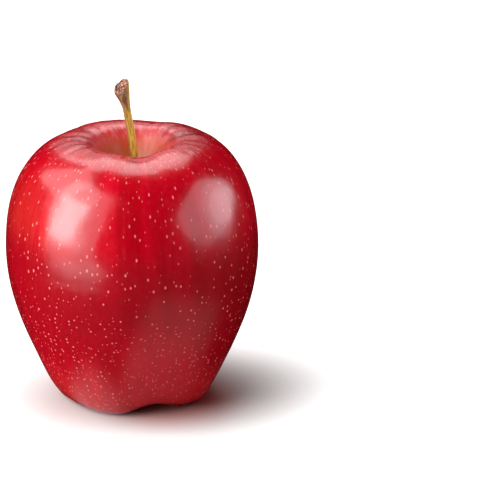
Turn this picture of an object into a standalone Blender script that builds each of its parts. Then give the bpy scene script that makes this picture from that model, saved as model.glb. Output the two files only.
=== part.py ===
"""A whole red apple, as picked: the fruit, its stem and the dried flower remains (calyx) under it.

Metres, +Z up. The origin is at the middle of the apple's box, on the surface that it stands on.
Angles run from the front (-Y) towards +X.
"""

import math

import bmesh
import bpy
from mathutils import Matrix, Vector
from mathutils.geometry import interpolate_bezier

MM = 0.001
GROWING_GAP = 0.3 * MM  # between the fruit and what grows out of it
SHARP_ANGLE = math.radians(50.0)  # edges sharper than this aren't shaded smooth

# ---- The fruit -------------------------------------------------------------------------------
FRUIT_RADIUS = 38.0 * MM
FRUIT_HEIGHT = 81.0 * MM
WIDEST_HEIGHT = 45.5 * MM
SHOULDER_RADIUS = 16.0 * MM  # of the ring of highest points round the stem cavity
SHOULDER_SHIFT = 0.4 * MM  # of that ring, to the right
CAVITY_DEPTH = 10.0 * MM
CAVITY_SHIFT = 1.1 * MM  # of the cavity's floor and the stem, to the right
CAVITY_FLOOR_RADIUS = 3.4 * MM
FLANK_RADIUS = 31.3 * MM  # on the straight, tapering lower side
FLANK_HEIGHT = 18.0 * MM
FLANK_LEAN = math.radians(23.0)  # of the lower side, from the vertical
FOOT_RADIUS = 17.2 * MM  # of the ring of lobes that the apple stands on
FOOT_LAND = 2.4 * MM  # width of the small flat spots under the lobes
FOOT_FLAT = 0.3 * MM  # how far the lobes are pressed flat there
BASIN_DEPTH = 8.5 * MM
BASIN_FLOOR_RADIUS = 5.2 * MM

# How far the outline runs on straight before it turns, at each end of its curves.
CAVITY_FLOOR_PULL = 4.5 * MM
SHOULDER_IN_PULL = 6.5 * MM
SHOULDER_OUT_PULL = 9.8 * MM
WIDEST_UP_PULL = 28.0 * MM
WIDEST_DOWN_PULL = 12.0 * MM
FLANK_UP_PULL = 6.0 * MM
FLANK_DOWN_PULL = 16.7 * MM
FOOT_OUT_PULL = 4.7 * MM
FOOT_IN_PULL = 5.0 * MM
BASIN_FLOOR_PULL = 2.5 * MM

# Grooves between the lobes: (angle in degrees, share of the full depth).
CROWN_GROOVES = ((19.0, 1.6), (100.0, 0.7), (172.0, 1.1), (243.0, 0.9), (316.0, 0.5))
SHOULDER_GROOVES = ((12.0, 1.0), (98.0, 0.5), (168.0, 0.6), (240.0, 0.7), (316.0, 0.9))
GROOVE_REACH = math.radians(35.0)  # to either side of its middle
CREST_GROOVE_IN = 0.4 * MM
CREST_GROOVE_DOWN = 0.8 * MM
WAIST_GROOVE_IN = 0.1 * MM
FLANK_GROOVE_IN = 1.3 * MM
FOOT_GROOVE_IN = 1.5 * MM
FOOT_GROOVE_UP = 1.9 * MM
FRUIT_SEGMENTS = 60

# ---- The stem --------------------------------------------------------------------------------
STEM_RADIUS = 1.2 * MM
STEM_FOOT_RADIUS = 1.75 * MM
STEM_TIP_RADIUS = 2.2 * MM
STEM_RISE = 26.0 * MM  # from the cavity's floor to the middle of the cut end
STEM_ROOT = 3.0 * MM  # how deep the stem grows into the fruit
STEM_FOOT_HEIGHT = 4.0 * MM
STEM_KNOB_HEIGHT = 6.6 * MM
STEM_LEAN = 3.5 * MM  # how far the cut end stands to the left of the foot
STEM_CUT_TILT = math.radians(30.0)
STEM_CUT_ANGLE = math.radians(-20.0)  # where the cut end faces, as seen from above
STEM_SEGMENTS = 14
# Shares of the rise at which the stem's section is given, after one at the root's end.
STEM_STATIONS = (0.0, 0.04, 0.09, 0.15, 0.3, 0.45, 0.6, 0.72, 0.8, 0.86, 0.91, 0.96, 1.0)
STEM_SLANT_START = 0.8  # share of the rise from which its sections turn towards the cut

# ---- The calyx -------------------------------------------------------------------------------
TUBE_RADIUS = 2.7 * MM  # the hollow that the stamens stand in
TUBE_DEPTH = 4.2 * MM
SEPAL_COUNT = 5
SEPAL_RING_RADIUS = 3.9 * MM
SEPAL_WIDTH = 3.5 * MM
SEPAL_THICKNESS = 0.45 * MM
SEPAL_DROP = 5.6 * MM
SEPAL_CURL = 2.6 * MM  # how far the tip bends outwards
SEPAL_STOOP = 1.1 * MM  # how far the middle stands in over the stamens
SEPAL_TIP_WIDTH = 0.36 * MM
SEPAL_CUP = 0.16  # how far its edges stand in, as a share of half its width
SEPAL_STATIONS = (0.0, 0.15, 0.3, 0.45, 0.6, 0.72, 0.84, 0.93, 1.0)
# A sepal's section: (share of half its width, share of half its thickness) round its edge.
SEPAL_SECTION = (
    (-1.0, 0.0),
    (-0.55, 1.0),
    (0.0, 1.0),
    (0.55, 1.0),
    (1.0, 0.0),
    (0.55, -1.0),
    (0.0, -1.0),
    (-0.55, -1.0),
)
STAMEN_COUNT = 10
STAMEN_RING_RADIUS = 1.75 * MM
STAMEN_RADIUS = 0.17 * MM
ANTHER_RADIUS = 0.3 * MM
STAMEN_LENGTH = 5.2 * MM
STAMEN_STOOP = 0.35 * MM  # how far its tip leans towards the styles
STYLE_RADIUS = 0.6 * MM
STYLE_LENGTH = 6.4 * MM


class Anchor:
    """A point of the fruit's outline.

    Its place holds the radius, the height and how far the ring there is shifted to the right.
    Its groove holds how far the grooves go in and up there.
    """

    def __init__(self, radius, height, groove_in=0.0, groove_up=0.0, shift=0.0):
        self.place = Vector((radius, height, shift))
        self.groove = Vector((groove_in, groove_up))


def clear_scene():
    for thing in list(bpy.data.objects):
        bpy.data.objects.remove(thing)


def make_material(name, colour, roughness):
    material = bpy.data.materials.new(name)
    material.use_nodes = True
    shader = material.node_tree.nodes["Principled BSDF"]
    shader.inputs["Base Color"].default_value = (*colour, 1.0)
    shader.inputs["Roughness"].default_value = roughness
    shader.inputs["Metallic"].default_value = 0.0
    return material


def loft(name, rings, material):
    """An object whose surface runs through rings of points, closed by a flat face at each end."""
    mesh = bmesh.new()
    loops = [[mesh.verts.new(point) for point in ring] for ring in rings]
    for lower, upper in zip(loops, loops[1:]):
        for i, corner in enumerate(lower):
            j = (i + 1) % len(lower)
            mesh.faces.new((corner, lower[j], upper[j], upper[i]))
    mesh.faces.new(loops[0])
    mesh.faces.new(loops[-1])
    bmesh.ops.recalc_face_normals(mesh, faces=mesh.faces)
    data = bpy.data.meshes.new(name)
    mesh.to_mesh(data)
    mesh.free()
    data.shade_smooth()
    data.set_sharp_from_angle(angle=SHARP_ANGLE)
    data.materials.append(material)
    thing = bpy.data.objects.new(name, data)
    bpy.context.scene.collection.objects.link(thing)
    return thing


def around(radius, height, angle):
    """The point at this distance from the axis, this height and this angle from the front."""
    return Vector((radius * math.sin(angle), -radius * math.cos(angle), height))


def grooves_at(angle, grooves):
    """How deep the grooves are at this angle, from 0 on a lobe to about 1 in a groove."""
    depth = 0.0
    for degrees, share in grooves:
        away = abs(math.remainder(angle - math.radians(degrees), math.tau))
        depth += share * math.cos(0.5 * math.pi * min(away / GROOVE_REACH, 1.0)) ** 2
    return depth


def curve_between(start, end, start_pull, end_pull, steps):
    """Outline points from one anchor towards the next, without the last: (place, groove)."""
    places = interpolate_bezier(
        start.place, start.place + start_pull, end.place + end_pull, end.place, steps + 1
    )
    points = []
    for i, place in enumerate(places[:-1]):
        points.append((place, start.groove.lerp(end.groove, i / steps)))
    return points


def fruit_outline():
    """Half of the fruit's section from the stem's socket over the shoulder to the calyx tube.

    It returns two lists of (place, groove), which meet at the widest point. The first takes
    the shoulder's grooves and the second the crown's.
    """
    cavity_floor = FRUIT_HEIGHT - CAVITY_DEPTH
    socket_radius = STEM_FOOT_RADIUS + GROWING_GAP
    socket_bottom = cavity_floor - STEM_ROOT - GROWING_GAP
    socket = Anchor(socket_radius, socket_bottom, shift=CAVITY_SHIFT)
    socket_rim = Anchor(socket_radius, cavity_floor - GROWING_GAP, shift=CAVITY_SHIFT)
    floor = Anchor(CAVITY_FLOOR_RADIUS, cavity_floor, shift=CAVITY_SHIFT)
    crest = Anchor(
        SHOULDER_RADIUS, FRUIT_HEIGHT, CREST_GROOVE_IN, -CREST_GROOVE_DOWN, SHOULDER_SHIFT
    )
    widest = Anchor(FRUIT_RADIUS, WIDEST_HEIGHT, WAIST_GROOVE_IN)
    flank = Anchor(FLANK_RADIUS, FLANK_HEIGHT, FLANK_GROOVE_IN)
    foot_out = Anchor(FOOT_RADIUS + FOOT_LAND / 2, -FOOT_FLAT, FOOT_GROOVE_IN, FOOT_GROOVE_UP)
    foot_in = Anchor(FOOT_RADIUS - FOOT_LAND / 2, -FOOT_FLAT, FOOT_GROOVE_IN, FOOT_GROOVE_UP)
    basin = Anchor(BASIN_FLOOR_RADIUS, BASIN_DEPTH)
    tube_rim = Anchor(TUBE_RADIUS, BASIN_DEPTH + GROWING_GAP)
    tube_end = Anchor(TUBE_RADIUS, BASIN_DEPTH + TUBE_DEPTH)
    down_flank = Vector((-math.sin(FLANK_LEAN), -math.cos(FLANK_LEAN), 0.0))
    out, up = Vector((1.0, 0.0, 0.0)), Vector((0.0, 1.0, 0.0))

    upper = [(anchor.place, anchor.groove) for anchor in (socket, socket_rim)]
    upper += curve_between(floor, crest, CAVITY_FLOOR_PULL * out, -SHOULDER_IN_PULL * out, 8)
    upper += curve_between(crest, widest, SHOULDER_OUT_PULL * out, WIDEST_UP_PULL * up, 10)
    lower = curve_between(
        widest, flank, -WIDEST_DOWN_PULL * up, -FLANK_UP_PULL * down_flank, 5
    )
    lower += curve_between(
        flank, foot_out, FLANK_DOWN_PULL * down_flank, FOOT_OUT_PULL * out, 8
    )
    lower.append((foot_out.place, foot_out.groove))
    lower += curve_between(foot_in, basin, -FOOT_IN_PULL * out, BASIN_FLOOR_PULL * out, 6)
    lower += [(anchor.place, anchor.groove) for anchor in (basin, tube_rim, tube_end)]
    return upper, lower


def fruit_ring(place, groove, grooves):
    """One level ring of the fruit's surface, pressed flat where it meets the ground."""
    ring = []
    for i in range(FRUIT_SEGMENTS):
        angle = math.tau * i / FRUIT_SEGMENTS
        depth = grooves_at(angle, grooves)
        height = max(place.y + depth * groove.y, 0.0)
        point = around(place.x - depth * groove.x, height, angle)
        point.x += place.z
        ring.append(point)
    return ring


def make_fruit(material):
    upper, lower = fruit_outline()
    rings = [fruit_ring(place, groove, SHOULDER_GROOVES) for place, groove in upper]
    rings += [fruit_ring(place, groove, CROWN_GROOVES) for place, groove in lower]
    return loft("fruit", rings, material)


def stem_axis(share):
    """The stem's middle line: straight in its socket, bending to the left above it."""
    cavity_floor = FRUIT_HEIGHT - CAVITY_DEPTH
    left = STEM_LEAN * max(share, 0.0) ** 1.5
    return Vector((CAVITY_SHIFT - left, 0.0, cavity_floor + STEM_RISE * share))


def stem_radius(height):
    """The stem's radius at this height over the cavity's floor."""
    foot = max(0.0, 1.0 - max(height, 0.0) / STEM_FOOT_HEIGHT)
    knob = max(0.0, 1.0 - max(STEM_RISE - height, 0.0) / STEM_KNOB_HEIGHT)
    return (
        STEM_RADIUS
        + (STEM_FOOT_RADIUS - STEM_RADIUS) * foot**2
        + (STEM_TIP_RADIUS - STEM_RADIUS) * knob**0.9
    )


def make_stem(material):
    """A thin stalk, wider where it leaves the fruit and at the slanting cut end."""
    cut_normal = around(math.sin(STEM_CUT_TILT), math.cos(STEM_CUT_TILT), STEM_CUT_ANGLE)
    rings = []
    step = 0.02
    for share in (-STEM_ROOT / STEM_RISE, *STEM_STATIONS):
        middle = stem_axis(share)
        along = stem_axis(share + step) - stem_axis(share - step)
        turn = Vector((0.0, 0.0, 1.0)).rotation_difference(along).to_matrix()
        # The cut's slant grows over the last rings, so that they don't cross.
        slant = max(0.0, (share - STEM_SLANT_START) / (1.0 - STEM_SLANT_START))
        ring = []
        for i in range(STEM_SEGMENTS):
            angle = math.tau * i / STEM_SEGMENTS
            spoke = turn @ around(stem_radius(share * STEM_RISE), 0.0, angle)
            drop = (spoke.x * cut_normal.x + spoke.y * cut_normal.y) / cut_normal.z
            ring.append(middle + spoke - Vector((0.0, 0.0, slant * drop)))
        rings.append(ring)
    return loft("stem", rings, material)


def make_sepal(index, material):
    """A dried, pointed leaf of the calyx: down beside the stamens, with its tip curled out."""
    rings = []
    for share in SEPAL_STATIONS:
        out = SEPAL_RING_RADIUS - SEPAL_STOOP * math.sin(math.pi * share)
        out += SEPAL_CURL * share**3
        height = BASIN_DEPTH - GROWING_GAP - SEPAL_DROP * math.sin(0.5 * math.pi * share)
        half_width = 0.5 * (SEPAL_TIP_WIDTH + (SEPAL_WIDTH - SEPAL_TIP_WIDTH) * (1.0 - share**1.6))
        half_thick = 0.5 * SEPAL_THICKNESS * (1.0 - 0.6 * share)
        ring = []
        for side, face in SEPAL_SECTION:
            depth = out + face * half_thick - SEPAL_CUP * half_width * side**2
            ring.append(Vector((side * half_width, -depth, height)))
        rings.append(ring)
    sepal = loft(f"sepal_{index + 1}", rings, material)
    sepal.rotation_euler.z = math.tau * index / SEPAL_COUNT
    return sepal


def hanging_rod(name, stations, segments, material, lean):
    """A thin rod hanging from the tube's end through stations of (drop, radius).

    Its tip leans to the back by the lean.
    """
    top = BASIN_DEPTH + TUBE_DEPTH - GROWING_GAP
    length = stations[-1][0]
    rings = []
    for drop, radius in stations:
        middle = Vector((0.0, lean * (drop / length) ** 2, top - drop))
        ring = []
        for i in range(segments):
            ring.append(middle + around(radius, 0.0, math.tau * i / segments))
        rings.append(ring)
    return loft(name, rings, material)


def make_stamen(index, material):
    """A dried filament with its anther, standing in the tube's ring of stamens."""
    length = STAMEN_LENGTH * (1.0 - 0.12 * (index % 3))
    anther = ANTHER_RADIUS
    stations = [
        (0.0, STAMEN_RADIUS),
        (0.4 * length, STAMEN_RADIUS),
        (length - 2.6 * anther, STAMEN_RADIUS),
        (length - 1.7 * anther, anther),
        (length - 0.5 * anther, anther),
        (length, 0.4 * anther),
    ]
    stamen = hanging_rod(f"stamen_{index + 1:02d}", stations, 8, material, STAMEN_STOOP)
    turn = Matrix.Rotation(math.tau * (index + 0.5) / STAMEN_COUNT, 4, "Z")
    stamen.matrix_world = turn @ Matrix.Translation((0.0, -STAMEN_RING_RADIUS, 0.0))
    return stamen


def make_styles(material):
    """The dried styles, grown together into one short column in the middle of the tube."""
    stations = [
        (0.0, STYLE_RADIUS),
        (0.5 * STYLE_LENGTH, 0.8 * STYLE_RADIUS),
        (0.85 * STYLE_LENGTH, 0.6 * STYLE_RADIUS),
        (STYLE_LENGTH, 0.25 * STYLE_RADIUS),
    ]
    return hanging_rod("style_column", stations, 10, material, 0.0)


def main():
    clear_scene()
    skin = make_material("red_skin", (0.52, 0.008, 0.016), 0.25)
    stalk = make_material("stem_bark", (0.36, 0.24, 0.06), 0.6)
    dry_leaf = make_material("dry_sepal", (0.24, 0.17, 0.09), 0.85)
    dry_thread = make_material("dry_stamen", (0.10, 0.06, 0.035), 0.85)
    make_fruit(skin)
    make_stem(stalk)
    for index in range(SEPAL_COUNT):
        make_sepal(index, dry_leaf)
    for index in range(STAMEN_COUNT):
        make_stamen(index, dry_thread)
    make_styles(dry_thread)


main()
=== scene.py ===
"""The finished look of a whole red apple: fine skin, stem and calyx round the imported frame.

Metres, +Z up, the apple standing on z = 0 and its front towards -Y.
Angles round the apple run from the front towards +X.
"""

import math
from typing import NamedTuple

import bmesh
import bpy
import numpy as np
from mathutils import Matrix, Vector


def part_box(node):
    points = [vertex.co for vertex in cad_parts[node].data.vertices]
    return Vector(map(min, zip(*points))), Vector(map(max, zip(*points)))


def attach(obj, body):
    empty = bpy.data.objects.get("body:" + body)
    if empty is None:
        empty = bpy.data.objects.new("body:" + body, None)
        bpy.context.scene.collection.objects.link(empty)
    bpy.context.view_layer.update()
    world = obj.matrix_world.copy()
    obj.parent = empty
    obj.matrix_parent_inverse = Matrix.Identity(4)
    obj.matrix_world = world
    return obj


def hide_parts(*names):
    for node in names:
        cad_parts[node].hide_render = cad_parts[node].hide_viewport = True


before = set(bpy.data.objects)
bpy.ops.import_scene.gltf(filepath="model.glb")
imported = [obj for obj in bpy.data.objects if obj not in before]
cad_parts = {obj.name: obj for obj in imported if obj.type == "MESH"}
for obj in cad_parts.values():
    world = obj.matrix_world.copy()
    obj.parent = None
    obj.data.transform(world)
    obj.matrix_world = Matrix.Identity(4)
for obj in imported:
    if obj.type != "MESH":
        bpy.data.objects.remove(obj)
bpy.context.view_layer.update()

# ---- Sizes, worked out from the frame --------------------------------------------------------
FRUIT_LOW, FRUIT_HIGH = (Vector(corner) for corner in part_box("fruit"))
MM = 0.001
TURN = 2.0 * math.pi

# The design's lengths are in millimetres on a fruit of this width and height. ACROSS and UP turn
# them into metres on the fruit that the frame holds.
DESIGN_WIDTH, DESIGN_HEIGHT = 75.93, 81.0
ACROSS = (FRUIT_HIGH.x - FRUIT_LOW.x) / DESIGN_WIDTH
UP = FRUIT_HIGH.z / DESIGN_HEIGHT

WIDEST_RADIUS, WIDEST_HEIGHT = 38.0, 45.5
CAVITY_SHIFT = 1.1  # to the right of the fruit's middle
CAVITY_FLOOR_RADIUS, CAVITY_FLOOR = 3.4, 71.0
SOCKET_RADIUS, SOCKET_BOTTOM, SOCKET_RIM = 2.05, 67.7, 70.7
CREST_RADIUS = 16.0
FLANK_RADIUS, FLANK_HEIGHT, FLANK_LEAN = 31.3, 18.0, math.radians(23.0)
FOOT_OUTSIDE, FOOT_INSIDE, FOOT_HEIGHT = 18.4, 16.0, -0.3
BASIN_RADIUS, BASIN_FLOOR = 5.2, 8.5
TUBE_RADIUS, TUBE_RIM, TUBE_END = 2.7, 8.8, 12.7

RADIUS = WIDEST_RADIUS * ACROSS
HEIGHT = DESIGN_HEIGHT * UP

# Grooves between the lobes: (angle in degrees, share of the full depth).
CROWN_GROOVES = ((19.0, 1.6), (100.0, 0.7), (172.0, 1.1), (243.0, 0.9), (316.0, 0.3))
SHOULDER_GROOVES = ((12.0, 2.0), (98.0, 0.5), (168.0, 0.6), (240.0, 0.7), (316.0, 0.9))
GROOVE_REACH = math.radians(35.0)
GROOVE_SMOOTHINGS = 46

SKIN_SEGMENTS = 288
OUTLINE_SMOOTHINGS = 30

# Soft dents of the skin: (depth in millimetres, seed, number of waves, turns of each round the
# apple, the most radians per millimetre along the skin).
DENTS = (
    (0.16, 11, 9, (1, 4), 0.10),
    (0.05, 12, 12, (4, 11), 0.28),
    (0.022, 15, 14, (12, 26), 0.60),
)

# Folds of the skin over the cavity's rim: (angle in degrees, half-width in degrees, share).
RIM_FOLDS = (
    (112.0, 9.0, 1.0),
    (92.0, 5.0, 0.6),
    (134.0, 6.0, 0.5),
    (74.0, 4.0, 0.35),
    (-58.0, 4.0, 0.45),
    (-71.0, 4.0, 0.7),
    (-84.0, 4.5, 0.9),
    (-101.0, 6.0, 0.8),
    (-124.0, 6.0, 0.5),
)
FOLD_DEPTH = 0.42 * MM

STEM_RISE = 25.5 * UP
STEM_LEAN = 3.5 * ACROSS
STEM_ROOT_RADIUS = 1.72 * ACROSS
STEM_CUT_TILT = math.radians(38.0)
STEM_CUT_ANGLE = math.radians(-20.0)
STEM_SEGMENTS = 72

SEPALS, STAMENS, STYLES = 5, 10, 5
HAIRS_PER_SEPAL = 110
ROD_SEGMENTS = 12


# ---- Mesh helpers ----------------------------------------------------------------------------
def new_piece(name, vertices, faces, material):
    """A smooth mesh object that rides on the apple's body."""
    data = bpy.data.meshes.new(name)
    data.from_pydata([tuple(v) for v in vertices], [], faces)
    data.update()
    data.materials.append(material)
    data.shade_smooth()
    piece = bpy.data.objects.new(name, data)
    bpy.context.scene.collection.objects.link(piece)
    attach(piece, "root")
    return piece


def ring_faces(ring_count, segments, first=0):
    """Quads between rings of the same number of points, with a face over each end ring."""
    faces = []
    for ring in range(ring_count - 1):
        here = first + ring * segments
        for i in range(segments):
            j = (i + 1) % segments
            faces.append((here + i, here + segments + i, here + segments + j, here + j))
    faces.append(tuple(range(first, first + segments)))
    last = first + (ring_count - 1) * segments
    faces.append(tuple(range(last + segments - 1, last - 1, -1)))
    return faces


def turn_faces_out(piece):
    """Makes every face look outwards, whichever way its points were listed."""
    mesh = bmesh.new()
    mesh.from_mesh(piece.data)
    bmesh.ops.recalc_face_normals(mesh, faces=mesh.faces)
    mesh.to_mesh(piece.data)
    mesh.free()
    piece.data.shade_smooth()


def set_attribute(piece, name, kind, values):
    """Stores a number or vector at each point, for the materials."""
    attribute = piece.data.attributes.new(name, kind, "POINT")
    key = "vector" if kind == "FLOAT_VECTOR" else "value"
    attribute.data.foreach_set(key, np.asarray(values, dtype=np.float32).ravel())


def waves(angle, along, seed, count, turns, rate):
    """A smooth, repeatable unevenness of about -1 to 1 over angle and length along the skin."""
    draw = np.random.default_rng(seed)
    total = np.zeros(np.broadcast(angle, along).shape)
    for _ in range(count):
        k = draw.integers(turns[0], turns[1] + 1)
        m = draw.uniform(-rate, rate)
        total += np.sin(k * angle + m * along / MM + draw.uniform(0.0, TURN))
    return total / math.sqrt(count)


def step(low, high, value):
    """0 below low and 1 above high, smooth between them."""
    share = np.clip((value - low) / (high - low), 0.0, 1.0)
    return share * share * (3.0 - 2.0 * share)


def hump(value, middle, half_width):
    """1 at the middle, falling off to both sides like a bell."""
    return np.exp(-(((value - middle) / half_width) ** 2))


# ---- The skin --------------------------------------------------------------------------------
def grooves_at(angle, grooves):
    """The depth round a ring of evenly spaced angles, rounded off between the grooves."""
    depth = np.zeros_like(angle)
    for degrees, share in grooves:
        away = np.abs((angle - math.radians(degrees) + math.pi) % TURN - math.pi)
        depth += share * np.cos(0.5 * math.pi * np.minimum(away / GROOVE_REACH, 1.0)) ** 2
    for _ in range(GROOVE_SMOOTHINGS):
        depth = 0.5 * depth + 0.25 * (np.roll(depth, 1) + np.roll(depth, -1))
    return depth


def skin_curve(start, end, start_pull, end_pull, steps):
    """Points from one anchor towards the next. An anchor holds radius, height, shift, groove
    depth inwards and groove depth upwards. A pull moves the radius and the height only.
    """
    t = np.linspace(0.0, 1.0, steps, endpoint=False)[:, None]
    a, d = np.array(start), np.array(end)
    b, c = a.copy(), d.copy()
    b[:2] += start_pull
    c[:2] += end_pull
    bend = (1 - t) ** 3 * a + 3 * (1 - t) ** 2 * t * b + 3 * (1 - t) * t**2 * c + t**3 * d
    straight = (1 - t) * a + t * d
    bend[:, 3:] = straight[:, 3:]
    return bend


def skin_outline():
    """The half-section as CAD has it, from the cavity's floor over the shoulder to the basin,
    and whether each of its points is above the widest ring.
    """
    down = np.array((-math.sin(FLANK_LEAN) * ACROSS, -math.cos(FLANK_LEAN) * UP))
    out, up = np.array((ACROSS, 0.0)), np.array((0.0, UP))

    def anchor(radius, height, groove_in=0.0, groove_up=0.0, shift=0.0):
        return (
            radius * ACROSS, height * UP, shift * ACROSS, groove_in * ACROSS, groove_up * UP
        )

    floor = anchor(CAVITY_FLOOR_RADIUS, CAVITY_FLOOR, shift=CAVITY_SHIFT)
    crest = anchor(CREST_RADIUS, DESIGN_HEIGHT, groove_in=0.4, groove_up=-0.8, shift=0.4)
    widest = anchor(WIDEST_RADIUS, WIDEST_HEIGHT, groove_in=0.1)
    flank = anchor(FLANK_RADIUS, FLANK_HEIGHT, groove_in=1.3)
    foot_out = anchor(FOOT_OUTSIDE, FOOT_HEIGHT, groove_in=1.5, groove_up=1.9)
    foot_in = anchor(FOOT_INSIDE, FOOT_HEIGHT, groove_in=1.5, groove_up=1.9)
    basin = anchor(BASIN_RADIUS, BASIN_FLOOR)
    upper = [
        skin_curve(floor, crest, 4.5 * out, -6.5 * out, steps=46),
        skin_curve(crest, widest, 9.8 * out, 28.0 * up, steps=70),
    ]
    lower = [
        skin_curve(widest, flank, -12.0 * up, -6.0 * down, steps=36),
        skin_curve(flank, foot_out, 16.7 * down, 4.7 * out, steps=40),
        skin_curve(foot_out, foot_in, -0.8 * out, 0.8 * out, steps=5),
        skin_curve(foot_in, basin, -5.0 * out, 2.5 * out, steps=26),
        np.array([basin]),
    ]
    points = np.concatenate(upper + lower)
    is_upper = np.zeros(len(points))
    is_upper[: sum(len(part) for part in upper)] = 1.0
    return points, is_upper


def smooth_along(points, times):
    """Evens out the bends where two curves of the outline meet. The ends stay."""
    points = points.copy()
    for _ in range(times):
        points[1:-1] += 0.25 * (points[:-2] - 2.0 * points[1:-1] + points[2:])
    return points


def skin_relief(angle, along, radius, height):
    """How far the skin stands out from the smooth design: dents, wrinkles round the cavity, and
    knobs round the crown underneath.
    """
    dents = sum(depth * waves(angle, along, *rest) for depth, *rest in DENTS)
    top = step(0.60, 0.86, height / HEIGHT)
    inside = 1.0 - step(0.62, 0.80, radius / RADIUS)
    clear_of_stem = step(0.24, 0.38, radius / RADIUS)
    at_sides = 0.55 + 0.45 * np.cos(2.0 * (angle - math.radians(85.0)))
    wander = 0.03 * np.sin(along / MM * 0.4)
    wrinkles = waves(angle + wander, along, 13, 10, (13, 34), 0.06)
    underneath = 1.0 - step(0.06, 0.22, height / HEIGHT)
    knobs = waves(angle, along, 14, 8, (9, 22), 0.08)
    relief = dents + 0.04 * wrinkles * top * inside * clear_of_stem * at_sides
    return (relief + 0.07 * underneath * knobs) * MM


def skin_folds(angle, along, radius, height):
    """How deep in a fold each point lies, 0 to 1. A fold wanders a little on its way down."""
    inside = step(0.24, 0.34, radius / RADIUS) * (1.0 - step(0.50, 0.74, radius / RADIUS))
    inside = inside * step(0.84, 0.93, height / HEIGHT)
    total = np.zeros(inside.shape)
    for degrees, half_width, share in RIM_FOLDS:
        middle = math.radians(degrees) + 0.05 * np.sin(along / (2.6 * MM) + degrees)
        away = (angle - middle + math.pi) % TURN - math.pi
        total += share * hump(away, 0.0, math.radians(half_width))
    return np.minimum(total, 1.0) * inside


def skin_map(angle, radius, height, run, along, is_upper):
    """The map that the small dots follow, for every point of every ring. They were set on the
    young fruit, so they crowd where it is narrow, and are drawn out up and down on the shoulder.
    """
    stretch = np.where(is_upper > 0.5, 0.66 - 0.2 * step(46.0, 76.0, height / UP), 0.66)
    rate = stretch * RADIUS / np.maximum(radius, 0.25 * RADIUS)
    mapped = np.concatenate(([0.0], np.cumsum(run * 0.5 * (rate[1:] + rate[:-1]))))
    widest = along[int(is_upper.sum())]
    crowd = 1.0 + 0.14 * step(0.0, 34.0 * MM, along - widest)
    round_ring = RADIUS * crowd[:, None]
    down = (mapped * crowd)[:, None] * np.ones(len(angle))
    return np.stack([round_ring * np.sin(angle), -round_ring * np.cos(angle), down], axis=-1)


def make_skin(material):
    """The fruit's surface in fine quads, closed in the stem's socket and the calyx tube."""
    points, is_upper = skin_outline()
    points = smooth_along(points, OUTLINE_SMOOTHINGS)
    radius, height, shift, groove_in, groove_up = points.T
    run = np.hypot(np.diff(radius), np.diff(height))
    along = np.concatenate(([0.0], np.cumsum(run)))
    slope_r, slope_z = np.gradient(radius), np.gradient(height)
    length = np.hypot(slope_r, slope_z)
    normal_r, normal_z = -slope_z / length, slope_r / length

    angle = np.arange(SKIN_SEGMENTS) * TURN / SKIN_SEGMENTS
    shoulder = grooves_at(angle, SHOULDER_GROOVES)
    crown = grooves_at(angle, CROWN_GROOVES)
    depth = is_upper[:, None] * shoulder + (1.0 - is_upper)[:, None] * crown
    base_r = radius[:, None] - depth * groove_in[:, None]
    base_z = height[:, None] + depth * groove_up[:, None]
    folds = skin_folds(angle[None, :], along[:, None], base_r, base_z)
    relief = skin_relief(angle[None, :], along[:, None], base_r, base_z) - FOLD_DEPTH * folds
    grid_r = base_r + normal_r[:, None] * relief
    grid_z = np.maximum(base_z + normal_z[:, None] * relief, 0.0)

    def plain_ring(ring_radius, ring_height, moved):
        ones = np.ones(SKIN_SEGMENTS)
        return ring_radius * ACROSS * ones, ring_height * UP * ones, moved * ACROSS

    rings = [plain_ring(SOCKET_RADIUS, z, CAVITY_SHIFT) for z in (SOCKET_BOTTOM, SOCKET_RIM)]
    rings += zip(grid_r, grid_z, shift)
    rings += [plain_ring(TUBE_RADIUS, z, 0.0) for z in (TUBE_RIM, TUBE_END)]
    vertices = np.concatenate([
        np.stack([r * np.sin(angle) + moved, -r * np.cos(angle), z], axis=1)
        for r, z, moved in rings
    ])
    faces = ring_faces(len(rings), SKIN_SEGMENTS)
    piece = new_piece("apple_skin", vertices, faces, material)

    def on_all_rings(values):
        """The socket's and the tube's rings take the values of the nearest ring of the grid."""
        return np.pad(values, ((2, 2),) + ((0, 0),) * (values.ndim - 1), mode="edge")

    dots = skin_map(angle, radius, height, run, along, is_upper)
    along_all = on_all_rings(along[:, None] * np.ones(SKIN_SEGMENTS))
    set_attribute(piece, "skin_map", "FLOAT_VECTOR", on_all_rings(dots))
    set_attribute(piece, "from_stem", "FLOAT", along_all)
    set_attribute(piece, "from_calyx", "FLOAT", along[-1] - along_all)
    set_attribute(piece, "in_fold", "FLOAT", on_all_rings(folds))
    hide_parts("fruit")
    return piece


# ---- The stem --------------------------------------------------------------------------------
def stem_axis(share):
    """The middle of the stem at this share of its rise. It leans to the left on its way up."""
    left = STEM_LEAN * max(share, 0.0) ** 1.5
    return Vector((CAVITY_SHIFT * ACROSS - left, 0.0, CAVITY_FLOOR * UP + STEM_RISE * share))


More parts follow.
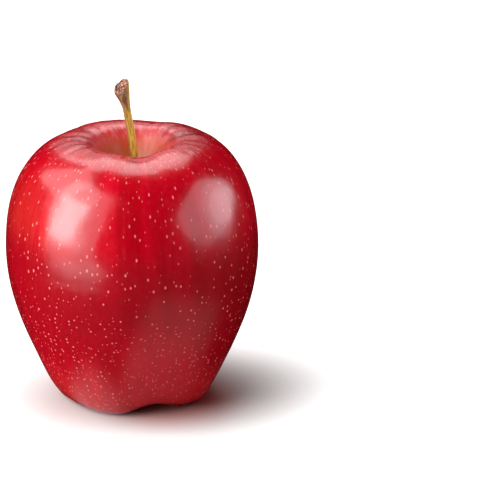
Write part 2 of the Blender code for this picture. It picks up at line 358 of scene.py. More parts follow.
def stem_radius(share, angle):
    """The stem's uneven radius: a flare in the cavity, ribs along it, and a knob at the cut."""
    height = share * STEM_RISE / MM
    knob = step(19.0, 26.0, height)
    foot = 1.0 - step(-0.5, 4.5, height)
    radius = 1.17 + 0.85 * foot + 1.0 * knob**1.1
    ribs = 0.035 * np.sin(3.0 * angle + 0.09 * height) + 0.03 * np.sin(5.0 * angle - 0.13 * height)
    ribs += 0.018 * np.sin(13.0 * angle + 0.35 * height)
    lumps = 0.03 * waves(angle, height * MM, 21, 10, (1, 4), 0.8)
    scars = 0.11 * knob * waves(angle, height * MM, 22, 12, (2, 7), 1.6)
    collar = 0.07 * hump(height, 20.6, 0.7)
    bulge = 0.13 * knob * np.cos(angle - math.radians(-95.0))
    return radius * (1.0 + ribs + lumps + scars + collar + bulge) * ACROSS


def stem_ring(share, angle, cut_normal):
    """The ring of points at this share of the rise, turning slowly into the plane of the cut."""
    along = stem_axis(share + 0.02) - stem_axis(share - 0.02)
    turn = np.array(Vector((0.0, 0.0, 1.0)).rotation_difference(along).to_matrix())
    radius = stem_radius(share, angle)
    if share < 0.0:
        radius = np.full(len(angle), STEM_ROOT_RADIUS)
    spokes = np.stack([radius * np.sin(angle), -radius * np.cos(angle), 0.0 * angle], axis=1)
    spokes = spokes @ turn.T
    drop = (spokes[:, 0] * cut_normal.x + spokes[:, 1] * cut_normal.y) / cut_normal.z
    ring = np.array(stem_axis(share)) + spokes
    ring[:, 2] -= step(0.76, 1.0, share) * drop
    return ring


def cut_ring(rim, inward, angle, cut_normal):
    """A ring of the cut end: a raised, ragged rim round a pitted, slightly hollow face."""
    ragged = waves(angle, inward * 4.0 * MM, 31, 9, (2, 9), 1.1)
    pits = waves(angle, inward * 4.0 * MM, 32, 8, (1, 5), 2.6)
    lift = 0.22 * math.sin(math.pi * min(1.0, inward * 4.0)) - 0.3 * step(0.1, 0.55, inward)
    lift = lift + 0.17 * ragged * (1.0 - inward) + 0.19 * pits * (1.0 - inward * 0.6)
    ring = rim * (1.0 - inward) + rim.mean(axis=0) * inward
    return ring + np.array(cut_normal)[None, :] * (lift * MM)[:, None]


def make_stem(material):
    """The woody stalk, from its root under the cavity's floor to its slanting cut end."""
    root, knob = -0.11, 0.8
    shares = np.concatenate((
        np.linspace(root, knob, 90, endpoint=False), np.linspace(knob, 1.0, 34)
    ))
    inwards = np.linspace(0.06, 0.97, 17)
    angle = np.arange(STEM_SEGMENTS) * TURN / STEM_SEGMENTS
    cut_normal = Vector((
        math.sin(STEM_CUT_TILT) * math.sin(STEM_CUT_ANGLE),
        -math.sin(STEM_CUT_TILT) * math.cos(STEM_CUT_ANGLE),
        math.cos(STEM_CUT_TILT),
    ))
    rings = [stem_ring(share, angle, cut_normal) for share in shares]
    rings += [cut_ring(rings[-1], inward, angle, cut_normal) for inward in inwards]
    faces = ring_faces(len(rings), STEM_SEGMENTS)
    piece = new_piece("apple_stem", np.concatenate(rings), faces, material)
    turn_faces_out(piece)

    ones = np.ones(STEM_SEGMENTS)
    up_stem = np.concatenate((shares, np.ones(len(inwards))))[:, None] * ones
    on_cut = np.concatenate((np.zeros(len(shares)), step(0.0, 0.12, inwards)))[:, None] * ones
    circle = np.broadcast_to(angle, up_stem.shape)
    wrap = np.stack([np.sin(circle), -np.cos(circle), up_stem * STEM_RISE / (1.2 * MM)], axis=-1)
    set_attribute(piece, "bark_map", "FLOAT_VECTOR", wrap)
    set_attribute(piece, "up_stem", "FLOAT", up_stem)
    set_attribute(piece, "on_cut", "FLOAT", on_cut)
    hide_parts("stem")
    return piece


# ---- The calyx -------------------------------------------------------------------------------
def make_sepal(index, material):
    """A dried, curled, woolly leaf with a folded edge and a sharp tip."""
    rows, columns = 26, 13
    draw = np.random.default_rng(50 + index)
    twist = draw.uniform(-0.25, 0.25)
    curl = draw.uniform(2.0, 3.4)
    phase = draw.uniform(0.0, TURN)
    top, bottom = [], []
    for share in np.linspace(0.0, 1.0, rows):
        out = 3.95 - 1.1 * math.sin(math.pi * share) + curl * share**3
        height = 8.3 - 5.8 * math.sin(0.5 * math.pi * share**0.95)
        half_width = 0.5 * (0.2 + 3.3 * (1.0 - share**1.7))
        for side in np.linspace(-1.0, 1.0, columns):
            wrinkle = 0.10 * math.sin(5.0 * side + 9.0 * share + phase)
            wrinkle += 0.07 * math.sin(11.0 * side - 7.0 * share + 2.0 * phase)
            depth = out - 0.28 * half_width * side**2 + wrinkle
            across = side * half_width + twist * share * 2.0
            thick = 0.16 * (1.0 - 0.5 * share) * (1.0 - 0.75 * side**4)
            top.append((across * ACROSS, -(depth + thick) * ACROSS, height * UP))
            bottom.append((across * ACROSS, -(depth - thick) * ACROSS, height * UP))
    leaf = top + bottom
    hairs, hair_faces = sepal_hairs(top, draw, len(leaf))
    turn = Matrix.Rotation(TURN * index / SEPALS, 3, "Z")
    placed = [turn @ Vector(v) for v in leaf + hairs]
    faces = leaf_faces(rows, columns) + hair_faces
    piece = new_piece(f"sepal_leaf_{index + 1}", placed, faces, material)
    turn_faces_out(piece)
    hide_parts(f"sepal_{index + 1}")
    return piece


def leaf_faces(rows, columns):
    """Two grids of rows by columns points, the second below the first, and the edge between."""
    under = rows * columns
    faces = []
    for row in range(rows - 1):
        for column in range(columns - 1):
            a = row * columns + column
            b, c, d = a + 1, a + columns + 1, a + columns
            faces.append((a, d, c, b))
            faces.append((under + a, under + b, under + c, under + d))
    edge = [row * columns for row in range(rows)]
    edge += [(rows - 1) * columns + column for column in range(1, columns)]
    edge += [row * columns + columns - 1 for row in range(rows - 2, -1, -1)]
    edge += [column for column in range(columns - 2, 0, -1)]
    for here, there in zip(edge, edge[1:] + edge[:1]):
        faces.append((here, under + here, under + there, there))
    return faces


def sepal_hairs(roots, draw, first):
    """The wool on a sepal: short, thin, bent spikes. Their points are numbered from first."""
    vertices, faces = [], []
    for _ in range(HAIRS_PER_SEPAL):
        root = Vector(roots[draw.integers(len(roots))])
        lean = Vector(draw.normal(size=3)).normalized()
        lean.z -= 0.6
        lean.y -= 0.5
        reach = draw.uniform(0.5, 1.1) * MM
        bend = Vector(draw.normal(size=3)) * 0.15 * MM
        side = lean.cross(Vector((0.3, 0.5, 0.8))).normalized()
        other = lean.cross(side).normalized()
        start = len(vertices) + first
        for share, thick in ((-0.1, 0.035), (0.5, 0.025)):
            middle = root + lean.normalized() * reach * share + bend * share**2
            for k in range(3):
                spoke = side * math.cos(TURN * k / 3) + other * math.sin(TURN * k / 3)
                vertices.append(tuple(middle + spoke * thick * MM))
        vertices.append(tuple(root + lean.normalized() * reach + bend))
        faces.append((start, start + 2, start + 1))
        for k in range(3):
            j = (k + 1) % 3
            faces.append((start + k, start + j, start + 3 + j, start + 3 + k))
            faces.append((start + 3 + k, start + 3 + j, start + 6))
    return vertices, faces


def rod(path, radii, phase):
    """Rings round a path of points, slightly uneven."""
    rings = []
    for i, point in enumerate(path):
        ahead = path[min(i + 1, len(path) - 1)] - path[max(i - 1, 0)]
        turn = Vector((0.0, 0.0, 1.0)).rotation_difference(ahead).to_matrix()
        for k in range(ROD_SEGMENTS):
            a = TURN * k / ROD_SEGMENTS
            r = radii[i] * (1.0 + 0.12 * math.sin(3.0 * a + phase + 1.7 * i))
            rings.append(point + turn @ Vector((r * math.cos(a), r * math.sin(a), 0.0)))
    return rings


def make_stamen(index, material):
    """A dried filament, kinked and thin, with a two-lobed anther at its tip."""
    node = f"stamen_{index + 1:02d}"
    draw = np.random.default_rng(80 + index)
    low, high = (Vector(corner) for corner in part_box(node))
    angle = TURN * (index + 0.5) / STAMENS
    kink = draw.uniform(-0.22, 0.22)
    top = high.z + 0.2 * MM
    path, radii = [], []
    for share in np.linspace(0.0, 1.0, 22):
        out = 1.75 - 0.35 * share**2 + 0.12 * math.sin(5.0 * share + kink * 20.0)
        swing = angle + kink * share**2
        path.append(Vector((
            out * ACROSS * math.sin(swing),
            -out * ACROSS * math.cos(swing),
            top - (top - low.z) * share,
        )))
        anther = hump(share, 0.92, 0.055)
        radii.append((0.13 + 0.03 * math.sin(17.0 * share) + 0.21 * anther) * MM)
    radii[-1] = 0.08 * MM
    rings = rod(path, radii, index)
    faces = ring_faces(len(path), ROD_SEGMENTS)
    piece = new_piece(f"stamen_thread_{index + 1:02d}", rings, faces, material)
    turn_faces_out(piece)
    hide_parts(node)
    return piece


def make_styles(material):
    """The dried styles: one ribbed column that parts into five curled ends."""
    low, high = (Vector(corner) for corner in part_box("style_column"))
    length = high.z - low.z
    vertices, faces = [], []
    for k in range(STYLES):
        path, radii = [], []
        for share in np.linspace(0.0, 1.0, 20):
            part = step(0.55, 1.0, share)
            out = (0.26 + 0.35 * part) * MM
            angle = TURN * (k + 0.2) / STYLES + 0.6 * share
            path.append(Vector((
                out * math.sin(angle), -out * math.cos(angle), high.z - length * share
            )))
            radii.append((0.29 - 0.14 * part + 0.05 * hump(share, 0.97, 0.03)) * MM)
        faces += ring_faces(len(path), ROD_SEGMENTS, first=len(vertices))
        vertices += rod(path, radii, k)
    piece = new_piece("style_threads", vertices, faces, material)
    turn_faces_out(piece)
    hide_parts("style_column")
    return piece


# ---- Material helpers ------------------------------------------------------------------------
def linear(red, green, blue):
    """A colour given as 0 to 255 on a screen, as the shader wants it."""
    def one(level):
        level /= 255.0
        return level / 12.92 if level <= 0.04045 else ((level + 0.055) / 1.055) ** 2.4
    return (one(red), one(green), one(blue), 1.0)


class Paint:
    """A material and short ways to add its nodes. Shares and heights are 0 to 1."""

    def __init__(self, name):
        self.material = bpy.data.materials.new(name)
        self.material.use_nodes = True
        self.tree = self.material.node_tree
        self.shader = self.tree.nodes["Principled BSDF"]
        self.where = self.node("ShaderNodeTexCoord").outputs["Object"]
        self.colour = None

    def node(self, kind, **settings):
        made = self.tree.nodes.new(kind)
        for key, value in settings.items():
            setattr(made, key, value)
        return made

    def put(self, socket, value):
        if hasattr(value, "is_output"):
            self.tree.links.new(value, socket)
        else:
            socket.default_value = value

    def set(self, **values):
        """Sets the shader's sockets. A name's underscores stand for spaces."""
        for key, value in values.items():
            self.put(self.shader.inputs[key.replace("_", " ")], value)

    def attribute(self, name, output="Fac"):
        return self.node("ShaderNodeAttribute", attribute_name=name).outputs[output]

    def axis(self, vector, name):
        made = self.node("ShaderNodeSeparateXYZ")
        self.put(made.inputs[0], vector)
        return made.outputs[name]

    def math(self, operation, a, b=0.0):
        made = self.node("ShaderNodeMath", operation=operation)
        self.put(made.inputs[0], a)
        self.put(made.inputs[1], b)
        return made.outputs[0]

    def add(self, a, b):
        return self.math("ADD", a, b)

    def times(self, first, *factors):
        for factor in factors:
            first = self.math("MULTIPLY", first, factor)
        return first

    def vector_math(self, operation, output, a, b=(0.0, 0.0, 0.0)):
        made = self.node("ShaderNodeVectorMath", operation=operation)
        self.put(made.inputs[0], a)
        self.put(made.inputs[1], b)
        return made.outputs[output]

    def scaled(self, vector, sizes):
        """The vector in steps of these sizes along X, Y and Z."""
        return self.vector_math("MULTIPLY", "Vector", vector, [1.0 / size for size in sizes])

    def distance(self, point, sizes=(1.0, 1.0, 1.0)):
        """How far each place of the object is from a point, in steps of these sizes."""
        offset = self.vector_math("SUBTRACT", "Vector", self.where, point)
        return self.vector_math("LENGTH", "Value", self.scaled(offset, sizes))

    def noise(self, vector, sizes, detail, rough, warp=0.0, unit=MM):
        """Smooth noise whose grains have about these sizes, in this unit, along X, Y and Z."""
        made = self.node("ShaderNodeTexNoise")
        self.put(made.inputs["Vector"], self.scaled(vector, [size * unit for size in sizes]))
        made.inputs["Scale"].default_value = 1.0
        made.inputs["Detail"].default_value = detail
        made.inputs["Roughness"].default_value = rough
        made.inputs["Distortion"].default_value = warp
        return made.outputs["Fac"]

    def cells(self, vector, size, randomness):
        """Distance to, and a random colour of, the nearest of scattered points."""
        made = self.node("ShaderNodeTexVoronoi")
        self.put(made.inputs["Vector"], self.scaled(vector, (size, size, size)))
        made.inputs["Scale"].default_value = 1.0
        made.inputs["Randomness"].default_value = randomness
        return made.outputs["Distance"], made.outputs["Color"]

    def between(self, value, low, high, to_low=0.0, to_high=1.0):
        """Moves a value from the range low..high to another, smoothly and without passing it."""
        made = self.node("ShaderNodeMapRange", interpolation_type="SMOOTHSTEP")
        self.put(made.inputs["Value"], value)
        self.put(made.inputs["From Min"], low)
        self.put(made.inputs["From Max"], high)
        made.inputs["To Min"].default_value = to_low
        made.inputs["To Max"].default_value = to_high
        return made.outputs[0]

    def mix(self, share, a, b):
        made = self.node("ShaderNodeMix", data_type="RGBA")
        self.put(made.inputs[0], share)
        self.put(made.inputs[6], a)
        self.put(made.inputs[7], b)
        return made.outputs[2]

    def tint(self, share, colour):
        """Lays this share of another colour over what is painted so far."""
        self.colour = self.mix(share, self.colour, colour)

    def bump(self, height, distance, under=None):
        """Relief of this height in metres where the value is 1."""
        made = self.node("ShaderNodeBump")
        made.inputs["Strength"].default_value = 1.0
        made.inputs["Distance"].default_value = distance
        self.put(made.inputs["Height"], height)
        if under is not None:
            self.put(made.inputs["Normal"], under)
        return made.outputs[0]


# ---- The skin's material ---------------------------------------------------------------------
DEEP_RED = linear(166, 0, 18)
BRIGHT_RED = linear(190, 0, 28)
CLOUD_RED = linear(160, 0, 16)
LIGHT_STREAK = linear(190, 14, 34)
DARK_STREAK = linear(128, 0, 10)
MOTTLE_PINK = linear(206, 56, 56)
SHADED_ORANGE = linear(206, 72, 48)
RIGHT_SHADE_RED = linear(112, 0, 4)
FLOOR_BOUNCE_RED = linear(212, 0, 28)
BAND_CRIMSON = linear(138, 0, 14)
LEFT_SHADE_CRIMSON = linear(132, 0, 12)
CROWN_PINK = linear(206, 74, 72)
CAVITY_ORANGE = linear(188, 50, 14)
CAVITY_AMBER = linear(178, 62, 2)
CAVITY_OLIVE = linear(156, 86, 2)
RIM_PINK = linear(226, 120, 112)
RIM_CRIMSON = linear(104, 0, 14)
FOLD_SHADE_RED = linear(118, 0, 16)
WALL_SHEEN_PINK = linear(222, 112, 124)
BASIN_TAN = linear(196, 112, 70)
BASIN_GREEN = linear(164, 140, 74)
DOT_PINK = linear(232, 122, 122)
DOT_SPACING = 1.62 * MM


class SkinPaint(Paint):
    """Waxed red skin: streaks down it, pale dots, an orange shoulder and an olive cavity."""

    def __init__(self):
        super().__init__("apple_skin")
        self.spot = self.attribute("skin_map", "Vector")
        self.from_stem = self.attribute("from_stem")
        self.from_calyx = self.attribute("from_calyx")
        # Across in radii of the fruit, and up in heights of it.
        across, up = self.axis(self.where, "X"), self.axis(self.where, "Z")
        self.leftward = self.times(across, -1.0 / RADIUS)
        self.rightward = self.times(across, 1.0 / RADIUS)
        self.level = self.times(up, 1.0 / HEIGHT)
        self.fine = self.noise(self.spot, (0.9, 0.9, 14.0), 3.0, 0.6, 0.3)
        self.broad = self.noise(self.spot, (4.5, 4.5, 32.0), 3.0, 0.55, 0.5)
        self.mottle = self.noise(self.where, (1.6, 1.6, 1.6), 4.0, 0.6)
        self.thin = self.noise(self.spot, (0.8, 0.8, 4.5), 4.0, 0.65, 0.6)
        self.rim = self.times(
            self.between(self.from_stem, 30.0 * MM, 19.0 * MM),
            self.between(self.from_stem, 9.0 * MM, 15.0 * MM),
        )
        self.paint_ground()
        self.paint_sides()
        self.paint_cavity()
        self.paint_basin()
        self.paint_dots()
        self.finish()

    def paint_ground(self):
        """Red in broad and fine streaks, clouded and mottled."""
        cloud = self.noise(self.where, (22.0, 22.0, 26.0), 2.0, 0.5, 0.6)
        self.colour = self.mix(self.between(self.broad, 0.30, 0.74), DEEP_RED, BRIGHT_RED)
        self.tint(self.between(self.fine, 0.50, 0.78, 0.0, 0.30), LIGHT_STREAK)
        self.tint(self.between(self.fine, 0.44, 0.24, 0.0, 0.35), DARK_STREAK)
        self.tint(self.between(cloud, 0.42, 0.66, 0.0, 0.35), CLOUD_RED)
        self.tint(self.between(self.mottle, 0.52, 0.74, 0.0, 0.08), MOTTLE_PINK)

    def paint_sides(self):
        """How the red differs round the apple and up it, with painted shade on the left and lower
        right and painted floor bounce low in front.
        """
        # The left shoulder had less sun, and shows orange through streaks of red.
        frontward = self.times(self.axis(self.where, "Y"), -0.35 / RADIUS)
        streaks = self.add(self.times(self.fine, 0.5), self.times(self.broad, 0.5))
        shaded = self.times(
            self.between(self.add(self.leftward, frontward), 0.74, 1.04),
            self.between(self.level, 0.58, 0.76),
            self.between(self.level, 0.99, 0.88),
            self.between(streaks, 0.40, 0.58, 0.1, 1.0),
        )
        self.tint(self.times(shaded, 0.34), SHADED_ORANGE)

        # Painted shade: the lower right side is painted a darker, deeper red.
        right_shade = self.times(
            self.between(self.rightward, 0.40, 0.95), self.between(self.level, 0.78, 0.52)
        )
        self.tint(self.times(right_shade, 0.85), RIGHT_SHADE_RED)

        # A wide band of deeper crimson runs round the middle, stronger to the left.
        band = self.times(
            self.between(self.level, 0.74, 0.60),
            self.between(self.level, 0.16, 0.46, 0.2, 1.0),
            self.between(self.leftward, -0.2, 0.75, 0.42, 0.85),
        )
        self.tint(band, BAND_CRIMSON)
        # Painted shade: the left side, from the middle up, is painted a darker crimson.
        left = self.times(
            self.between(self.leftward, 0.45, 0.95), self.between(self.level, 0.5, 0.7)
        )
        self.tint(self.times(left, 0.6), LEFT_SHADE_CRIMSON)

        # Painted bounce light from the floor: low in front the red is painted a little lighter.
        low = self.times(
            self.between(self.level, 0.50, 0.22),
            self.between(self.leftward, 0.22, -0.12),
            self.between(self.leftward, -0.66, -0.36),
        )
        self.tint(self.times(low, 0.62), FLOOR_BOUNCE_RED)

        # Towards the crown underneath the skin is thinner and pinker.
        self.tint(self.between(self.level, 0.26, 0.02, 0.0, 0.22), CROWN_PINK)

    def uneven(self, distance, depth):
        """A distance along the skin, its limit broken up into rays of this depth."""
        rays = self.noise(self.spot, (2.6, 2.6, 60.0), 3.0, 0.6)
        return self.add(distance, self.times(self.math("SUBTRACT", rays, 0.5), depth))

    def paint_cavity(self):
        """The stem's cavity and its rim."""
        # The red gives way to orange and olive, in rays.
        reach = self.uneven(self.from_stem, 5.0 * MM)
        self.tint(self.between(reach, 15.0 * MM, 9.0 * MM, 0.0, 0.6), CAVITY_ORANGE)
        self.tint(self.between(reach, 12.5 * MM, 7.0 * MM, 0.0, 0.85), CAVITY_AMBER)
        self.tint(self.between(reach, 7.5 * MM, 2.5 * MM, 0.0, 0.85), CAVITY_OLIVE)

        # Fine streaks of pale and dark red run over the rim.
        blotch = self.noise(self.spot, (3.0, 3.0, 5.0), 2.0, 0.5)
        pale = self.times(
            self.between(self.thin, 0.50, 0.66), self.between(blotch, 0.36, 0.60, 0.25, 1.0)
        )
        self.tint(self.times(pale, self.rim, 0.42), RIM_PINK)
        # Painted sheen: pale pink blotches lie on the wall.
        wall_sheen = self.times(
            self.between(self.from_stem, 17.0 * MM, 13.0 * MM),
            self.between(self.from_stem, 8.5 * MM, 11.5 * MM),
            self.between(blotch, 0.44, 0.64, 0.0, 0.34),
        )
        self.tint(wall_sheen, WALL_SHEEN_PINK)
        self.tint(self.times(self.between(self.thin, 0.48, 0.32), self.rim, 0.75), RIM_CRIMSON)
        # Painted shade: the folds over the rim are painted a darker red.
        self.tint(self.times(self.attribute("in_fold"), 0.75), FOLD_SHADE_RED)

    def paint_basin(self):
        """The calyx basin, where the red thins out to yellow green."""
        sink = self.uneven(self.from_calyx, 8.0 * MM)
        self.tint(self.between(sink, 13.0 * MM, 5.0 * MM, 0.0, 0.8), BASIN_TAN)
        self.tint(self.between(sink, 6.0 * MM, 0.5 * MM, 0.0, 0.85), BASIN_GREEN)

    def paint_dots(self):
        """Pale dots of uneven size, wider and fainter low on the apple, none by the stem."""
        away, chance = self.cells(self.spot, DOT_SPACING, 0.8)
        growth = self.between(self.level, 0.52, 0.14, 1.0, 1.4)
        edge = self.between(self.axis(chance, "X"), 0.0, 1.0, 0.10, 0.205)
        inside = self.math("SUBTRACT", self.times(edge, growth), away)
        dots = self.times(
            self.between(inside, -0.06, 0.10),
            self.between(self.from_stem, 6.0 * MM, 15.0 * MM),
            self.between(self.level, 0.48, 0.12, 0.85, 0.62),
        )
        self.tint(dots, DOT_PINK)

    def finish(self):
        """Relief and gloss: waxy, duller down in the cavity, wrinkled at both ends of its rim."""
        pores = self.noise(self.where, (1.0, 1.0, 1.3), 2.0, 0.5)
        swell = self.noise(self.where, (4.0, 4.0, 5.5), 2.0, 0.5)
        aside = self.math("ABSOLUTE", self.rightward)
        wrinkles = self.times(self.thin, self.rim, self.between(aside, 0.26, 0.48, 0.10, 0.22))
        relief = self.bump(swell, 0.07 * MM)
        relief = self.bump(pores, 0.012 * MM, relief)
        relief = self.bump(wrinkles, 1.0 * MM, relief)
        gloss = self.between(self.mottle, 0.3, 0.7, 0.20, 0.27)
        dull = self.between(self.from_stem, 15.5 * MM, 9.0 * MM, 0.0, 0.36)
        self.set(Base_Color=self.colour, Roughness=self.add(gloss, dull), Normal=relief)
        self.set(
            Coat_Weight=0.3,
            Coat_Roughness=0.1,
            Coat_IOR=1.42,
            Subsurface_Weight=0.06,
            Subsurface_Radius=(1.0, 0.25, 0.12),
            Subsurface_Scale=1.5 * MM,
        )


# ---- The other materials ---------------------------------------------------------------------
def bark_paint():
    """Woody stem: olive gold below, brown and scarred above, with a pinkish cut end."""
    p = Paint("apple_stem")
    wrap = p.attribute("bark_map", "Vector")
    up = p.attribute("up_stem")
    cut = p.attribute("on_cut")
    rightward = p.axis(wrap, "X")
    grain = p.noise(wrap, (0.22, 0.22, 2.4), 4.0, 0.6, 0.4, unit=1.0)
    specks = p.noise(p.where, (0.34, 0.34, 0.45), 3.0, 0.65)
    blots = p.noise(p.where, (1.6, 1.6, 2.6), 3.0, 0.6)
    pits = p.noise(p.where, (0.75, 0.75, 0.75), 3.0, 0.6, 0.8)

    gold, brown = linear(218, 172, 58), linear(128, 86, 20)
    p.colour = p.mix(p.between(grain, 0.40, 0.60), brown, gold)
    p.tint(p.between(blots, 0.50, 0.68, 0.0, 0.5), linear(128, 104, 44))
    p.tint(p.between(specks, 0.60, 0.72, 0.0, 0.75), linear(98, 62, 30))

    # Upwards it turns brown, along a ragged line.
    ragged = p.add(up, p.times(p.math("SUBTRACT", blots, 0.5), 0.35))
    p.tint(p.between(ragged, 0.66, 0.86, 0.0, 0.85), linear(104, 68, 44))
    p.tint(p.between(p.times(grain, up), 0.52, 0.62, 0.0, 0.6), linear(70, 44, 32))

    # Painted highlight: its right side is painted a lighter yellow green. Painted shade: its left
    # side is painted darker.
    green = p.mix(p.between(grain, 0.35, 0.65), linear(172, 142, 30), linear(236, 208, 88))
    p.tint(p.between(p.math("SUBTRACT", rightward, ragged), -0.55, 0.15, 0.0, 0.8), green)
    p.tint(p.between(rightward, -0.25, -0.9, 0.0, 0.75), linear(92, 56, 24))

    # The knob is speckled, the foot yellower, and the cut end pale with dark pits.
    speckled = p.times(p.between(up, 0.70, 0.84), p.between(specks, 0.48, 0.60, 0.0, 0.55))
    p.tint(speckled, linear(178, 124, 98))
    p.tint(p.between(up, 0.20, 0.02, 0.0, 0.6), linear(214, 182, 74))
    wood = p.mix(p.between(pits, 0.44, 0.56), linear(48, 22, 16), linear(204, 142, 112))
    wood = p.mix(p.between(specks, 0.52, 0.66, 0.0, 0.5), wood, linear(120, 70, 50))
    p.tint(cut, wood)

    relief = p.bump(grain, 0.12 * MM)
    relief = p.bump(specks, 0.08 * MM, relief)
    relief = p.bump(p.times(pits, cut), 0.55 * MM, relief)
    p.set(Base_Color=p.colour, Roughness=p.between(specks, 0.3, 0.7, 0.48, 0.72), Normal=relief)
    return p.material


def dry_paint(name, dark, light, size):
    """Dried calyx tissue: brown, veined and dull. The veins follow the size of the piece."""
    p = Paint(name)
    vein = p.noise(p.where, (0.35, 0.35, 1.6), 4.0, 0.65, 0.4, unit=size)
    patch = p.noise(p.where, (1.4, 1.4, 1.4), 2.0, 0.5, unit=size)
    p.colour = p.mix(p.between(vein, 0.36, 0.66), dark, light)
    p.tint(p.between(patch, 0.5, 0.7, 0.0, 0.5), dark)
    roughness = p.between(vein, 0.3, 0.7, 0.8, 0.95)
    p.set(Base_Color=p.colour, Roughness=roughness, Normal=p.bump(vein, 0.08 * size))
    p.set(Sheen_Weight=0.2)
    return p.material


# ---- The studio ------------------------------------------------------------------------------
class Softbox(NamedTuple):
    """An area light aimed at the apple: degrees round it and above the table, metres, watts."""
    name: str
    angle: float
    elevation: float
    distance: float
    width: float
    height: float
    power: float
    is_fill: bool = False


# Boxes inside boxes give the highlights their soft gradients. The fills are oval, slightly
# coloured, and light only the apple.
SOFTBOXES = (
    Softbox("key_softbox", -54.0, 27.0, 0.62, 0.66, 0.84, 3.5),
    Softbox("key_upper", -98.0, 47.0, 0.62, 0.44, 0.40, 1.6),
    Softbox("key_middle", -62.0, 28.0, 0.60, 0.38, 0.66, 1.7),
    Softbox("key_core", -62.0, 20.0, 0.58, 0.28, 0.36, 2.35),
    Softbox("fill_softbox", 80.0, 21.0, 0.70, 0.92, 0.60, 2.95, is_fill=True),
    Softbox("fill_middle", 96.0, 14.0, 0.68, 0.60, 0.47, 0.85, is_fill=True),
    Softbox("fill_core", 99.0, 13.0, 0.66, 0.34, 0.28, 0.5, is_fill=True),
    Softbox("top_softbox", 183.0, 59.0, 0.70, 0.53, 0.46, 2.95),
    Softbox("back_softbox", 188.0, 26.0, 0.90, 0.46, 0.24, 0.3),
)
FILL_COLOUR = (1.0, 0.90, 0.955)
AIM_HEIGHT = 0.55 * HEIGHT

# The world's strength to diffuse rays and to the camera, and the share that reflections see.
SKY_GLOW, SKY_TO_CAMERA, SKY_IN_REFLECTIONS = 0.22, 1.25, 0.1

FLOOR_HALF, FLOOR_COLUMNS, FLOOR_BEND = 1.6, 24, 0.9
FLOOR_GREYS = ((0.52, 0.49, 0.48, 1.0), (0.56, 0.53, 0.52, 1.0))
# The contact shadow is where the floor doesn't glow to the camera. Near the apple the floor is
# painted red: painted bounce light from the apple.
SHADOW_MIDDLE, SHADOW_STRETCH = (5.5 * MM, 0.0, 0.0), (1.15, 0.85, 1.0)
RED_BOUNCE_MIDDLE, RED_BOUNCE_TINT = (11.0 * MM, -9.5 * MM, 0.0), (0.54, 0.29, 0.27, 1.0)

# The card that stands for the lit table in reflections: its edges, and its depth under the floor.
CARD_LEFT, CARD_RIGHT, CARD_FRONT, CARD_BACK, CARD_HEIGHT = -0.45, 0.30, -0.50, -0.012, -0.002
# Its bright patch begins along a slanting line, so the sheen on the apple does too.
CARD_EDGE_POINT, CARD_EDGE_NORMAL = (0.003, -0.053, 0.0), (0.905, 0.425, 0.0)
CARD_PATCH_MIDDLE = (0.012, -0.040, 0.0)
# Its round glows: (middle, full out to, nothing beyond, strength).
CARD_GLOWS = (
    ((-0.016, -0.023, 0.0), 0.004, 0.019, 0.50),
    ((-0.250, -0.250, 0.0), 0.08, 0.210, 3.0),
)

CAMERA_DISTANCE, CAMERA_DOWN = 0.8, math.radians(20.0)
CAMERA_TARGET = Vector((35.3 * ACROSS, 0.0, 45.4 * UP))
FRAME_WIDTH = 150.5 * ACROSS
SENSOR_WIDTH = 36.0


def stage_object(name, data):
    """An object of the studio, not of the apple."""
    made = bpy.data.objects.new(name, data)
    bpy.context.scene.collection.objects.link(made)
    return made


def floor_paint():
    """A pale floor that glows white to the camera away from the apple's contact shadow."""
    p = Paint("floor")
    grain = p.noise(p.where, (40.0, 40.0, 40.0), 2.0, 0.5)
    near_apple = p.distance(RED_BOUNCE_MIDDLE)
    pale = p.mix(grain, *FLOOR_GREYS)
    # Painted bounce light: near the apple the floor's colour is painted red.
    colour = p.mix(p.between(near_apple, 10.0 * MM, 27.0 * MM), RED_BOUNCE_TINT, pale)
    p.set(Base_Color=colour, Roughness=0.6)
    away = p.distance(SHADOW_MIDDLE, SHADOW_STRETCH)
    glow = p.between(away, 20.0 * MM, 60.0 * MM, 0.0, 0.9)
    camera = p.node("ShaderNodeLightPath").outputs["Is Camera Ray"]
    p.set(Emission_Color=(1.0, 1.0, 1.0, 1.0), Emission_Strength=p.times(glow, camera))
    return p.material


def make_floor():
    """A wide pale sweep: flat round the apple, rising gently far behind it."""
    vertices, faces = [], []
    for row in range(FLOOR_COLUMNS + 1):
        for column in range(FLOOR_COLUMNS + 1):
            x = -FLOOR_HALF + 2.0 * FLOOR_HALF * column / FLOOR_COLUMNS
            y = -FLOOR_HALF + 2.0 * FLOOR_HALF * row / FLOOR_COLUMNS
            vertices.append((x, y, 0.25 * max(0.0, y - FLOOR_BEND) ** 2))
    for row in range(FLOOR_COLUMNS):
        for column in range(FLOOR_COLUMNS):
            a = row * (FLOOR_COLUMNS + 1) + column
            faces.append((a, a + 1, a + FLOOR_COLUMNS + 2, a + FLOOR_COLUMNS + 1))
    data = bpy.data.meshes.new("floor")
    data.from_pydata(vertices, [], faces)
    data.shade_smooth()
    data.materials.append(floor_paint())
    floor = stage_object("floor", data)
    floor.visible_glossy = False


def card_paint():
    """The bounce card's glow: a slanting patch in front and round glows elsewhere."""
    p = Paint("bounce_card")
    from_edge = p.vector_math("SUBTRACT", "Vector", p.where, CARD_EDGE_POINT)
    across = p.vector_math("DOT_PRODUCT", "Value", from_edge, CARD_EDGE_NORMAL)
    total = p.times(
        p.between(across, -0.004, 0.010),
        p.between(p.distance(CARD_PATCH_MIDDLE), 0.115, 0.030, 0.0, 0.34),
        p.between(p.axis(p.where, "Y"), -0.012, -0.042),
    )
    for middle, inner, outer, strength in CARD_GLOWS:
        total = p.add(p.between(p.distance(middle), outer, inner, 0.0, strength), total)
    glow = p.node("ShaderNodeEmission")
    p.put(glow.inputs["Strength"], total)
    p.put(p.tree.nodes["Material Output"].inputs["Surface"], glow.outputs[0])
    p.material.cycles.emission_sampling = "NONE"
    return p.material


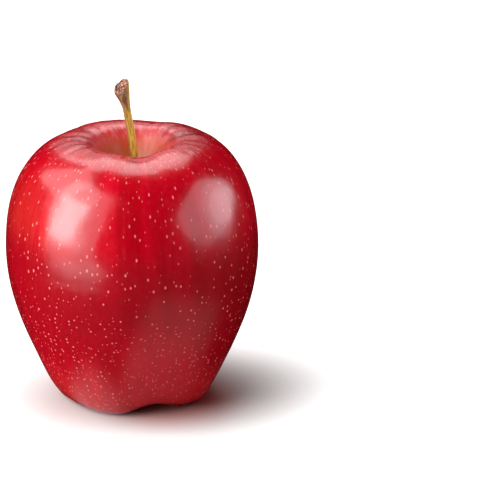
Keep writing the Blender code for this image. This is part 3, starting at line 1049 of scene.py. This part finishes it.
def make_bounce_card():
    """A glowing card just below the floor, seen only in reflections: the lit table's sheen."""
    data = bpy.data.meshes.new("bounce_card")
    corners = [
        (CARD_LEFT, CARD_FRONT, CARD_HEIGHT),
        (CARD_RIGHT, CARD_FRONT, CARD_HEIGHT),
        (CARD_RIGHT, CARD_BACK, CARD_HEIGHT),
        (CARD_LEFT, CARD_BACK, CARD_HEIGHT),
    ]
    data.from_pydata(corners, [], [(0, 1, 2, 3)])
    data.materials.append(card_paint())
    card = stage_object("bounce_card", data)
    card.visible_camera = card.visible_diffuse = card.visible_shadow = False


def make_world():
    """White where the camera sees it, a soft grey sky for diffuse light, dark to reflections."""
    world = bpy.data.worlds.new("studio")
    bpy.context.scene.world = world
    world.use_nodes = True
    tree = world.node_tree
    path = tree.nodes.new("ShaderNodeLightPath")
    product = tree.nodes.new("ShaderNodeMath")
    product.operation = "MULTIPLY"
    factors = (
        ("Is Camera Ray", SKY_GLOW, SKY_TO_CAMERA),
        ("Is Glossy Ray", 1.0, SKY_IN_REFLECTIONS),
    )
    for index, (ray, otherwise, if_so) in enumerate(factors):
        choice = tree.nodes.new("ShaderNodeMapRange")
        choice.inputs["To Min"].default_value = otherwise
        choice.inputs["To Max"].default_value = if_so
        tree.links.new(path.outputs[ray], choice.inputs["Value"])
        tree.links.new(choice.outputs[0], product.inputs[index])
    tree.links.new(product.outputs[0], tree.nodes["Background"].inputs["Strength"])


def make_camera():
    """Looks 20 degrees down, with the apple in the left half of the frame."""
    data = bpy.data.cameras.new("camera")
    data.sensor_width = SENSOR_WIDTH
    data.lens = SENSOR_WIDTH * CAMERA_DISTANCE / FRAME_WIDTH
    data.clip_start = 0.01
    camera = stage_object("camera", data)
    back = Vector((0.0, -math.cos(CAMERA_DOWN), math.sin(CAMERA_DOWN)))
    camera.location = CAMERA_TARGET + CAMERA_DISTANCE * back
    camera.rotation_euler = (math.radians(90.0) - CAMERA_DOWN, 0.0, 0.0)
    bpy.context.scene.camera = camera


def make_softbox(box):
    """A soft area light aimed at the middle of the apple."""
    light = bpy.data.lights.new(box.name, "AREA")
    light.shape = "ELLIPSE" if box.is_fill else "RECTANGLE"
    light.size, light.size_y = box.width, box.height
    light.energy = box.power
    lamp = stage_object(box.name, light)
    turn, lift = math.radians(box.angle), math.radians(box.elevation)
    out = math.cos(lift)
    aim = Vector((math.sin(turn) * out, -math.cos(turn) * out, math.sin(lift)))
    lamp.location = Vector((0.0, 0.0, AIM_HEIGHT)) + box.distance * aim
    lamp.rotation_euler = aim.to_track_quat("Z", "Y").to_euler()
    return lamp


def make_apple():
    """All the visible pieces."""
    pieces = [make_skin(SkinPaint().material), make_stem(bark_paint())]
    leaf = dry_paint("dry_sepal", linear(84, 62, 38), linear(160, 138, 96), 1.0 * MM)
    thread = dry_paint("dry_stamen", linear(62, 40, 24), linear(150, 112, 70), 0.5 * MM)
    pieces += [make_sepal(index, leaf) for index in range(SEPALS)]
    pieces += [make_stamen(index, thread) for index in range(STAMENS)]
    pieces.append(make_styles(thread))
    return pieces


def main():
    bpy.context.scene.view_settings.view_transform = "Standard"
    make_floor()
    make_bounce_card()
    make_world()
    make_camera()
    lamps = {box.name: make_softbox(box) for box in SOFTBOXES}
    lit_by_fill = bpy.data.collections.new("lit_by_fill")
    for piece in make_apple():
        lit_by_fill.objects.link(piece)
    for box in SOFTBOXES:
        if box.is_fill:
            lamps[box.name].data.color = FILL_COLOUR
            lamps[box.name].light_linking.receiver_collection = lit_by_fill


main()
bpy.context.view_layer.update()
